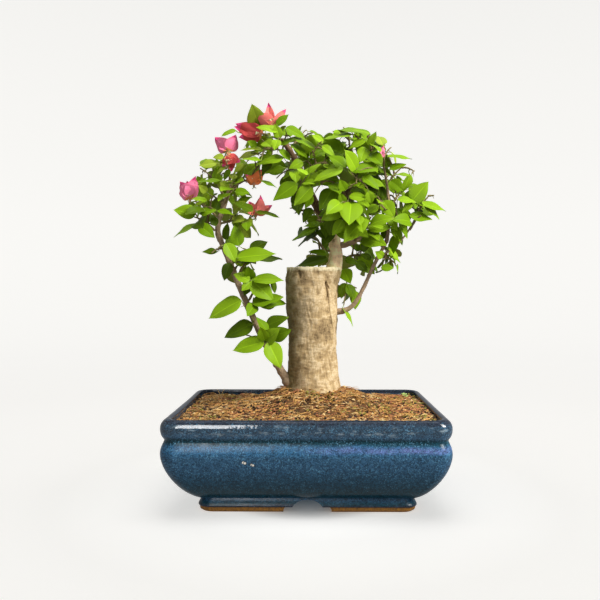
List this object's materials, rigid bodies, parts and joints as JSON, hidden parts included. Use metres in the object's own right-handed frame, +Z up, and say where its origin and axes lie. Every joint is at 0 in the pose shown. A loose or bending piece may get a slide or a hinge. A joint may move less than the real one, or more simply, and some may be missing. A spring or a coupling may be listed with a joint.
{
  "type": "potted bonsai tree",
  "caption": "Bougainvillea bonsai: a cut stump with leafy boughs and papery pink bracts, in a footed rectangular glazed pot filled with soil.",
  "frame": {"origin": "under the middle of the pot, at the level that its feet stand on", "axes": "+Z up, -Y to the front, +X to the right as seen from the front"},
  "size_m": [0.2166, 0.156, 0.3088],
  "materials": {
    "glaze": "mottled dark blue gloss glaze that breaks brown at the rim",
    "bare_clay": "unglazed brown stoneware soles",
    "soil": "loose bark and coir compost",
    "bark": "pale tan bark with fine vertical fissures",
    "young_bark": "grey-brown young bark",
    "leaf": "satin green leaves, with papery pink bracts at some tips"
  },
  "bodies": {
    "root": {"pot": "glaze", "foot_front_left": "bare_clay", "foot_front_right": "bare_clay", "foot_back_left": "bare_clay", "foot_back_right": "bare_clay", "soil": "soil", "trunk": "bark", "bough_left_lower": "young_bark", "bough_left_upper": "young_bark", "bough_upper_foot": "young_bark", "bough_upper_left": "young_bark", "bough_crown": "young_bark", "bough_crown_right": "young_bark", "bough_back": "young_bark", "bough_right_lower": "young_bark", "bough_right_upper": "young_bark", "bough_right_side": "young_bark", "foliage_left_1": "leaf", "foliage_left_2": "leaf", "foliage_left_3": "leaf", "foliage_left_4": "leaf", "foliage_left_5": "leaf", "foliage_left_6": "leaf", "foliage_left_7": "leaf", "foliage_left_8": "leaf", "foliage_left_9": "leaf", "foliage_left_10": "leaf", "foliage_left_11": "leaf", "foliage_left_12": "leaf", "foliage_left_back": "leaf", "foliage_left_low_back": "leaf", "foliage_top_1": "leaf", "foliage_top_2": "leaf", "foliage_top_3": "leaf", "foliage_top_4": "leaf", "foliage_top_5": "leaf", "foliage_top_6": "leaf", "foliage_top_7": "leaf", "foliage_mid_1": "leaf", "foliage_mid_2": "leaf", "foliage_mid_3": "leaf", "foliage_mid_4": "leaf", "foliage_mid_5": "leaf", "foliage_mid_6": "leaf", "foliage_mid_7": "leaf", "foliage_low_1": "leaf", "foliage_low_2": "leaf", "foliage_low_3": "leaf", "foliage_low_4": "leaf", "foliage_low_5": "leaf", "foliage_right_1": "leaf", "foliage_right_3": "leaf", "foliage_right_4": "leaf", "foliage_right_5": "leaf", "foliage_right_6": "leaf", "foliage_right_7": "leaf", "foliage_right_8": "leaf", "foliage_back_1": "leaf", "foliage_back_2": "leaf", "foliage_back_3": "leaf"}
  },
  "joints": []
}
